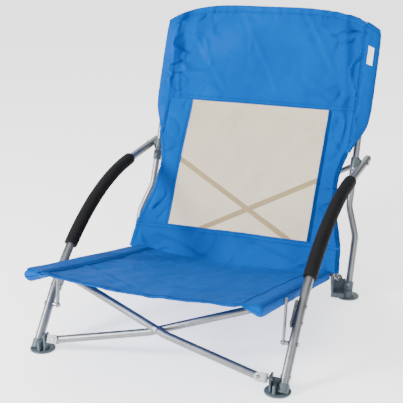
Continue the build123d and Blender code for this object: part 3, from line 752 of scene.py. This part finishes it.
def sleeve_place(side):
    def place(t, v):
        across, behind, _ = round_path([(a, b, 0) for a, b in SLEEVE_LOOP], t)
        low = 0.327
        z = mix(low, back_top(SLEEVE_X + across), v)
        half = back_half(z)
        reach = max(half - SLEEVE_X, 0.0006)
        x = SLEEVE_X + across * reach / SLEEVE_WIDE
        z = mix(low, back_top(x), v)
        room = smooth((z - low) / 0.05)
        behind = mix(-0.0098, behind, room) if t > 0.42 else mix(-0.0098, behind, max(room, 0.4))
        closing = sqrt(min(max((back_top(x) - z) / 0.014, 0.0), 1.0))
        behind = mix(-0.0045, behind, closing)
        y = upright_y(z) + behind / BEHIND.y
        if z < BACK_STRAIGHT + 0.035:
            y += (flat_back_y(z) - (upright_y(z) - 0.0098 / BEHIND.y)) * (1 - smooth((x - SLEEVE_X) / 0.03))
        front = 1 - smooth((t - 0.25) / 0.2)
        loose = 0.0016 * abs(rough(x * side, z, 0.03, 11.0)) + 0.0008 * abs(rough(x * side, z, 0.012, 12.0))
        y -= front * (abs(back_ripple(side * x, z)) * (1 - smooth((x - SLEEVE_X) / 0.024)) + loose * closing)
        rear = smooth((t - 0.55) / 0.1) * closing
        y += rear * (0.0012 * abs(rough(x * side, z, 0.03, 13.0)))
        x += 0.0007 * rough(z, 0.0, 0.018, 14.0 + side) * ridge(t - 0.45, 0.15)
        return Vector((side * x, y, z))
    return place


sleeves = {}
loop_steps = steps((0, 1, 44))
for name, side in SIDES.items():
    place = sleeve_place(side)
    bm = bmesh.new()
    low_share = (SLEEVE_LOW - 0.327) / (0.61 - 0.327)
    faces = cloth_grid(
        bm, loop_steps, steps((0, 1, 84)), place,
        lambda t, v: (t * 0.09, v * 0.31), lambda t, v: v > low_share or t < 0.44,
    )
    if side < 0:
        bmesh.ops.reverse_faces(bm, faces=faces)
    sleeve = new_object(f"{name}_back_sleeve", bm, [looks["blue_fabric"]])
    thicken(sleeve, CLOTH * 0.8, 0.0)
    lines = [[place(0.045, mix(0.12, 0.985, k / 120)) + front_normal(0) * 0.0006 for k in range(121)]]
    hem = [place(mix(0.02, 0.42, k / 60), 0.965) + front_normal(0) * 0.0006 for k in range(61)]
    lines.append(hem)
    add_stitches(sleeve, lines, front_normal)
    sleeves[name] = sleeve

# ---- the seat ------------------------------------------------------------------------------------
SEAT_LENGTH = RAIL_FRONT + 0.003
WRAP_R = 0.0128              # the sheet round the outer side of a rail


def rail_point(x, s, rise):
    """A point at distance s along the rails from their pivots, rise above the plane through their axes."""
    return Vector((x, RAIL_PIVOT.y, RAIL_PIVOT.z)) + RAIL_DIR * s + RAIL_UP * rise


def seat_ripple(x, s):
    total = 0.0030 * rough(x, s, 0.13, 50.0) + 0.0014 * rough(x * 1.6, s, 0.05, 51.0)
    total += 0.0009 * crumple(x * 0.5, s, 0.06, 53.0) - 0.0007 * crumple(x * 0.6, s, 0.045, 54.0)
    for start, end, depth in (
        ((-0.17, 0.10), (0.02, 0.20), 0.0013), ((0.00, 0.06), (0.16, 0.15), 0.0014),
        ((-0.10, 0.33), (0.09, 0.43), 0.0011), ((-0.19, 0.40), (-0.06, 0.50), 0.0013),
        ((0.05, 0.47), (0.18, 0.36), 0.0013), ((-0.12, 0.03), (0.10, 0.05), 0.0016),
    ):
        off, along, past = near_line(x, s, start, end)
        total += depth * (ridge(off, 0.007) - 0.8 * ridge(off - 0.013, 0.009)) * ridge(past, 0.025)
    seams = ((SEAT_LENGTH - 0.014 - s, x), (abs(x) - (RAIL_X - SEAT_STITCH), s))
    for k, (distance, run) in enumerate(seams):
        total += 0.0012 * rough(run, 0.0, 0.012, 60.0 + k) * ridge(distance, 0.012)
        total -= 0.0007 * ridge(distance, 0.0022)
    return 1.9 * total


def seat_rise(x, s):
    """Height of the seat's cloth above the rails' plane."""
    share = min(abs(x) / RAIL_X, 1.0)
    return 0.0098 - SEAT_SAG * (1 - share**2)


def over_rail(x):
    """Lifts the sheet clear of the sleeve's top, then lets it wrap down round the rail."""
    past = max(abs(x) - RAIL_X, 0.0)
    lift = 0.0030 * smooth((abs(x) - 0.196) / 0.022)
    return lift - (WRAP_R - sqrt(max(WRAP_R**2 - past**2, 0.0)))


def seat_surface(x, s, lift=0.0):
    calm = smooth((RAIL_X - abs(x)) / 0.05)
    return rail_point(x, s, seat_rise(x, s) + over_rail(x) + seat_ripple(x, s) * mix(0.25, 1.0, calm) + lift)


def seat_up(_):
    return RAIL_UP


SEAT_HALF = RAIL_X - SEAT_STITCH
PANEL_HALF = RAIL_X + 0.0085
FLAP_LIFT = 0.0011
bm = bmesh.new()
cloth_grid(
    bm, steps((-SEAT_HALF, SEAT_HALF, 110)), steps((SEAT_REAR, SEAT_LENGTH, 140)),
    lambda x, s: seat_surface(x, s), lambda x, s: (x, s),
)
seat_panel = new_object("seat_panel", bm, [looks["blue_fabric"]])
if seat_panel.data.polygons[0].normal.z > 0:
    thicken(seat_panel, CLOTH)
else:
    thicken(seat_panel, CLOTH, 1.0)


seat_strips = [
    (
        steps((-SEAT_HALF, SEAT_HALF, 120)), steps((0, 1, 4)),
        lambda x, v: seat_surface(
            x, mix(SEAT_LENGTH - 0.0185, SEAT_LENGTH - 0.0006, v), LAP + 0.0003 * sin(pi * v)
        ),
    ),
]
add_strips(seat_panel, seat_strips)


def seat_line(x_of, s_of, count=160):
    return [seat_surface(x_of(k / count), s_of(k / count), ON_TOP) for k in range(count + 1)]


seat_lines = [
    seat_line(lambda k: mix(-SEAT_HALF, SEAT_HALF, k), lambda k: SEAT_LENGTH - 0.0165),
]
add_stitches(seat_panel, seat_lines, seat_up)

# across from the rail's axis and up from it; hang is the slack under the rail
def rail_loop(hang, top):
    return (
        (-SEAT_STITCH, top), (-0.024, top + 0.0020), (-0.014, 0.0088), (-0.004, 0.0101), (0.0050, 0.0086),
        (0.0098, 0.0030), (0.0104, -0.0040), (0.0092, -0.0100), (0.0060, -hang + 0.0010), (0.0, -hang),
        (-0.0070, -hang + 0.0035), (-0.0150, -0.0080), (-0.0230, -0.0020), (-0.0290, top - 0.0040),
        (-SEAT_STITCH, top - 0.0016),
    )


def seat_flap(side):
    """The flap's front outer corner is round, and tucks down on the closed end of the sleeve."""
    def place(u, s):
        late = min(max((s - SEAT_LENGTH + 0.018) / 0.016, 0.0), 1.0)
        outer = mix(PANEL_HALF, RAIL_X - 0.006, late**3)
        tuck = 0.0075 * late**2 * smooth((u - 0.25) / 0.5)
        return seat_surface(side * mix(SEAT_HALF - 0.0045, outer, u), s, FLAP_LIFT - tuck)
    return place


def seat_sleeve_place(side):
    def place(t, v):
        s = mix(SEAT_REAR + 0.006, SEAT_LENGTH + 0.001, v)
        hang = mix(0.0125, 0.0165, v) + 0.0012 * rough(s, 0.0, 0.05, 70.0 + side)
        across, rise, _ = round_path([(a, b, 0) for a, b in rail_loop(hang, seat_rise(SEAT_HALF, s))], t)
        left = min(max((SEAT_LENGTH + 0.001 - s) / 0.010, 0.0), 1.0)
        closing = sqrt(1 - (1 - left) ** 2)
        closed = mix(seat_rise(SEAT_HALF, s), -0.005, smooth((across + SEAT_STITCH) / 0.034))
        rise = mix(closed + (0.0005 if t < 0.4 else -0.0005), rise, closing)
        across -= 0.004 * (1 - closing) * smooth((across + 0.010) / 0.018)
        top_layer = 1 - smooth((t - 0.1) / 0.15)
        rise += seat_ripple(side * (RAIL_X + across), s) * 0.25 * top_layer * closing
        under = smooth((t - 0.4) / 0.15) * (1 - smooth((t - 0.85) / 0.1))
        rise += under * (0.0014 * rough(s, across, 0.02, 71.0 + side) - 0.0005)
        bulge = 0.0006 * rough(s, rise, 0.02, 73.0 + side) * ridge(t - 0.42, 0.12)
        return rail_point(side * (RAIL_X + across + min(bulge, 0.0002)), s, rise)
    return place


seat_sleeves = {}
for name, side in SIDES.items():
    place = seat_sleeve_place(side)
    bm = bmesh.new()
    faces = cloth_grid(
        bm, steps((0, 1, 48)), steps((0, 0.98, 110), (0.98, 1, 12)), place, lambda t, v: (t * 0.1, v * 0.55),
    )
    if side > 0:
        bmesh.ops.reverse_faces(bm, faces=faces)
    sleeve = new_object(f"{name}_seat_sleeve", bm, [looks["blue_fabric"]])
    thicken(sleeve, CLOTH * 0.8, 0.0)
    side_way = Vector((side, 0, 0))
    seat_sleeves[name] = sleeve
    # the flap that laps over the panel's edge and goes over the rail
    flap = (steps((0, 1, 22)), steps((SEAT_REAR + 0.004, SEAT_LENGTH - 0.002, 130)), seat_flap(side))
    add_strips(sleeve, [flap])
    lines = [
        [seat_surface(side * x, s, FLAP_LIFT + CLOTH * 0.45) for s in steps((0.03, SEAT_LENGTH - 0.004, 160))]
        for x in (SEAT_HALF - 0.0025, SEAT_HALF + 0.0030)
    ]
    add_stitches(sleeve, lines, seat_up)

# ---- the label on the right sleeve ---------------------------------------------------------------
label_low, label_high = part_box("label_tag")
right_place = sleeve_place(1)


def label_share(z):
    return (z - 0.327) / (back_top(SLEEVE_X + 0.03) - 0.327)


def label_place(u, v):
    z_share = mix(label_share(label_low.z), label_share(label_high.z), v)
    t = mix(0.14, 0.26, u)
    point = right_place(t, z_share)
    beside = right_place(t + 0.01, z_share)
    above = right_place(t, z_share + 0.005)
    outward = (beside - point).cross(above - point).normalized()
    if outward.y > 0:
        outward = -outward
    curl = 0.0007 * smooth(abs(u - 0.5) * 2)
    return point + outward * (0.0012 + curl)


bm = bmesh.new()
cloth_grid(bm, steps((0, 1, 16)), steps((0, 1, 30)), label_place, lambda u, v: (u * 0.014, v * 0.04))
label = new_object("label", bm, [looks["white_label"]])
if label.data.polygons[0].normal.y > 0:
    label.data.flip_normals()
thicken(label, 0.0005, 1.0)


# ---- foam grips on the arms ----------------------------------------------------------------------
def arm_path(side):
    """The arm tube's line: straight, one long bend, straight."""
    base = Vector((0.2714, FRONT_FEET_Y - 0.0003, 0.012))
    corner = Vector((0.2755, FRONT_FEET_Y + 0.233, 0.280))
    end = Vector((0.2830, FRONT_FEET_Y + 0.668, 0.3015))
    radius = 0.600
    first, second = (corner - base).normalized(), (end - corner).normalized()
    turn = first.angle(second)
    cut = radius * sin(turn / 2) / cos(turn / 2)
    arc = radius * turn
    straight = (corner - base).length - cut
    inward = (second - first * first.dot(second)).normalized()

    def at(distance):
        if distance < straight:
            point, along = base + first * distance, first
        elif distance < straight + arc:
            angle = (distance - straight) / radius
            point = base + first * (straight + radius * sin(angle)) + inward * radius * (1 - cos(angle))
            along = first * cos(angle) + inward * sin(angle)
        else:
            point = corner + second * (cut + distance - straight - arc)
            along = second
        return Vector((side * point.x, point.y, point.z)), Vector((side * along.x, along.y, along.z))
    return at


GRIP_START, GRIP_LENGTH, GRIP_R, TUBE_R = 0.2346, 0.352, 0.0150, 0.0095


def foam_grip(name, side):
    at = arm_path(side)
    around = 40
    profile = [(0.0, TUBE_R + 0.0002), (0.0, GRIP_R - 0.0022)]
    profile += [(0.0022 * (1 - cos(a)), GRIP_R - 0.0022 + 0.0022 * sin(a)) for a in steps((0, pi / 2, 5))[1:]]
    profile += [(d, GRIP_R) for d in steps((0.004, GRIP_LENGTH - 0.004, 110))]
    profile += [(GRIP_LENGTH - d, r) for d, r in reversed(profile[:7])]
    bm = bmesh.new()
    uv_layer = bm.loops.layers.uv.verify()
    rings = []
    for distance, radius in profile:
        centre, along = at(GRIP_START + distance)
        across = along.cross(Vector((1, 0, 0))).normalized()
        sideways = along.cross(across).normalized()
        ring = []
        for k in range(around):
            angle = 2 * pi * k / around
            spoke = across * cos(angle) + sideways * sin(angle)
            soft = 0.00025 * noise.noise(centre * 60 + spoke * 2) - 0.0001
            pinch = 0.0003 * ridge(min(distance, GRIP_LENGTH - distance) - 0.006, 0.004)
            give = soft - pinch if radius > TUBE_R + 0.001 else 0
            ring.append(bm.verts.new(centre + spoke * (radius + give)))
        rings.append(ring)
    for i, (first, second) in enumerate(zip(rings, rings[1:])):
        for k in range(around):
            j = (k + 1) % around
            face = bm.faces.new((first[k], first[j], second[j], second[k]))
            for loop, (a, b) in zip(face.loops, ((k, i), (k + 1, i), (k + 1, i + 1), (k, i + 1))):
                loop[uv_layer].uv = (a * 0.002, b * 0.003)
    bmesh.ops.recalc_face_normals(bm, faces=bm.faces)
    return new_object(name, bm, [looks["black_foam"]], 70)


# ---- what each piece moves with ------------------------------------------------------------------
for piece in (back_panel, mesh_panel):
    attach(piece, "left_frame")
    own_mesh(piece)
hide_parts("back_fabric")
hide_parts("mesh_window")
for name, sleeve in sleeves.items():
    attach(sleeve, f"{name}_frame")
    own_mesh(sleeve)
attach(label, "right_frame")
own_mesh(label)
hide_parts("label_tag")
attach(seat_panel, "left_rail")
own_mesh(seat_panel)
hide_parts("seat_fabric")
for name, sleeve in seat_sleeves.items():
    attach(sleeve, f"{name}_rail")
for name, side in SIDES.items():
    grip = foam_grip(f"{name}_grip", side)
    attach(grip, f"{name}_arm")
    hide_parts(f"{name}_foam_grip")

# ---- floor and light -----------------------------------------------------------------------------
FLOOR_HALF = 150
bm = bmesh.new()
floor_steps = steps((-FLOOR_HALF, FLOOR_HALF, 8))
cloth_grid(bm, floor_steps, floor_steps, lambda x, y: Vector((x, y, 0)), lambda x, y: (x, y))
floor_look, floor_nodes, floor_links, floor_shader = node_tree("floor_paper")
paper = noise_node(floor_nodes, floor_links, 3.0, 2.0)
floor_links.new(
    ramp(floor_nodes, floor_links, paper, ((0.3, (0.90, 0.90, 0.90)), (0.7, (0.92, 0.92, 0.92)))),
    floor_shader.inputs["Base Color"],
)
floor_shader.inputs["Roughness"].default_value = 0.9
floor_shader.inputs["Emission Color"].default_value = (1.0, 1.0, 1.0, 1)
floor_shader.inputs["Emission Strength"].default_value = 1.4
floor = new_object("floor", bm, [floor_look])

world = bpy.data.worlds.new("studio")
world.use_nodes = True
sky_nodes, sky_links = world.node_tree.nodes, world.node_tree.links
sideways = sky_nodes.new("ShaderNodeVectorMath")
sideways.operation = "DOT_PRODUCT"
sideways.inputs[1].default_value = tuple(right)
sky_links.new(sky_nodes.new("ShaderNodeTexCoord").outputs["Generated"], sideways.inputs[0])
away = combine(sky_nodes, sky_links, "ABSOLUTE", sideways.outputs["Value"], 0.0)
sky = ramp(
    sky_nodes, sky_links, away,
    ((0.30, (1.0, 1.0, 1.0)), (0.62, (0.10, 0.11, 0.12)), (1.0, (0.35, 0.35, 0.36))),
)
sky_links.new(sky, sky_nodes["Background"].inputs["Color"])
sky_nodes["Background"].inputs["Strength"].default_value = 1.7
bpy.context.scene.world = world


def softbox(name, at, target, size, power):
    data = bpy.data.lights.new(name, "AREA")
    data.shape = "RECTANGLE"
    data.size, data.size_y = size
    data.energy = power
    lamp = bpy.data.objects.new(name, data)
    lamp.location = at
    lamp.rotation_euler = (Vector(target) - Vector(at)).to_track_quat("-Z", "Y").to_euler()
    bpy.context.scene.collection.objects.link(lamp)


softbox("key", (-1.9, -2.1, 1.5), (0, 0, 0.3), (0.7, 0.7), 190)
softbox("fill", (2.4, -1.4, 1.2), (0, 0, 0.3), (1.0, 1.6), 20)
softbox("top", (-0.6, 0.9, 2.8), (0, 0, 0.2), (1.6, 1.6), 20)
